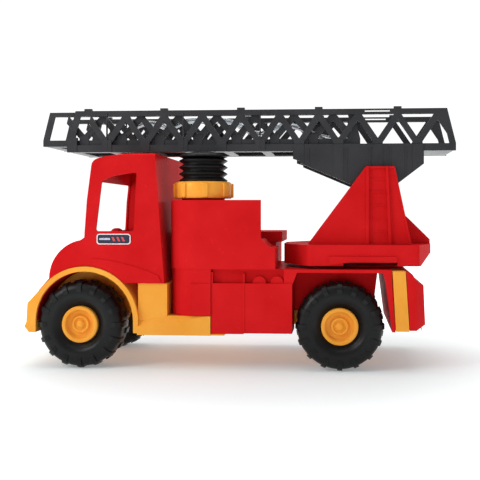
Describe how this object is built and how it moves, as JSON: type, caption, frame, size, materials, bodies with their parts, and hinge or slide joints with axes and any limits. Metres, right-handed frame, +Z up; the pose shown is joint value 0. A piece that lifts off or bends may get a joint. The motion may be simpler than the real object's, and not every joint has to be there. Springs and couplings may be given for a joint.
{
  "type": "toy fire engine",
  "caption": "Moulded plastic toy fire engine with a hollow cab, a bellows water pump on its tank, and a turntable carrying a tilting, sliding lattice ladder.",
  "frame": {"origin": "middle of the bounding box on the ground", "axes": "+X forward towards the cab's nose, +Y to the truck's left, +Z up"},
  "size_m": [0.49, 0.19, 0.299],
  "materials": {
    "red_plastic": "glossy moulded red polypropylene with faint flow marks and fine scratches",
    "yellow_plastic": "satin-gloss moulded orange-yellow polypropylene",
    "charcoal_plastic": "satin charcoal moulded plastic",
    "bellows_rubber": "soft black rubber with a low sheen",
    "tyre_plastic": "satin black blow-moulded plastic with rounded lugs",
    "clear_plastic": "clear flexible tube",
    "steel": "plain steel rod and screws",
    "decal": null
  },
  "bodies": {
    "chassis": {"chassis": "yellow_plastic", "cab_shell": "red_plastic", "dashboard": "red_plastic", "cab_decal_left": "decal", "cab_decal_right": "decal", "water_tank": "red_plastic", "suction_tube": "clear_plastic", "valve_plate": "charcoal_plastic", "bellows_folds": "bellows_rubber", "locker_body": "red_plastic", "locker_lid": "red_plastic", "rear_body": "red_plastic", "rear_strap": "yellow_plastic", "rear_bumper": "red_plastic", "turntable_ring": "red_plastic", "floor_screw_1": "steel", "floor_screw_2": "steel", "floor_screw_3": "steel", "floor_screw_4": "steel"},
    "front_wheels": {"front_axle": "steel", "front_left_hub": "yellow_plastic", "front_left_tyre": "tyre_plastic", "front_right_hub": "yellow_plastic", "front_right_tyre": "tyre_plastic"},
    "rear_wheels": {"rear_axle": "steel", "rear_left_hub": "yellow_plastic", "rear_left_tyre": "tyre_plastic", "rear_right_hub": "yellow_plastic", "rear_right_tyre": "tyre_plastic"},
    "nut": {"ring_nut": "yellow_plastic"},
    "bellows": {"bellows_cap": "bellows_rubber"},
    "turret": {"turret_base": "red_plastic", "turret_cap": "red_plastic", "tower_left": "red_plastic", "tower_right": "red_plastic"},
    "ladder": {"ladder_pin": "charcoal_plastic", "ladder_outer_left": "charcoal_plastic", "ladder_outer_right": "charcoal_plastic", "ladder_cheek_left": "charcoal_plastic", "ladder_cheek_right": "charcoal_plastic", "ladder_outer_floor": "charcoal_plastic"},
    "ladder_slide": {"ladder_inner_left": "charcoal_plastic", "ladder_inner_right": "charcoal_plastic", "ladder_inner_floor": "charcoal_plastic", "hose": "clear_plastic", "hose_nozzle": "charcoal_plastic", "hose_coupling": "charcoal_plastic"}
  },
  "joints": [
    {"name": "front_axle_spin", "type": "hinge", "parent": "chassis", "child": "front_wheels", "pos_m": [0.1815, 0, 0.0495], "axis": [0, 1, 0], "continuous": true},
    {"name": "rear_axle_spin", "type": "hinge", "parent": "chassis", "child": "rear_wheels", "pos_m": [-0.1115, 0, 0.0495], "axis": [0, 1, 0], "continuous": true},
    {"name": "nut_turn", "type": "hinge", "parent": "chassis", "child": "nut", "pos_m": [0.0465, 0.055, 0.2], "axis": [0, 0, 1], "range_deg": [0, 360]},
    {"name": "bellows_press", "type": "slide", "parent": "chassis", "child": "bellows", "axis": [0, 0, 1], "range_m": [-0.018, 0], "stiffness_N_per_m": 600, "deforming": ["bellows_folds"]},
    {"name": "turret_spin", "type": "hinge", "parent": "chassis", "child": "turret", "pos_m": [-0.1455, 0, 0.116], "axis": [0, 0, 1], "continuous": true},
    {"name": "ladder_tilt", "type": "hinge", "parent": "turret", "child": "ladder", "pos_m": [-0.1575, 0, 0.21], "axis": [0, -1, 0], "range_deg": [0, 40]},
    {"name": "ladder_extend", "type": "slide", "parent": "ladder", "child": "ladder_slide", "axis": [1, 0, 0], "range_m": [0, 0.2]}
  ]
}
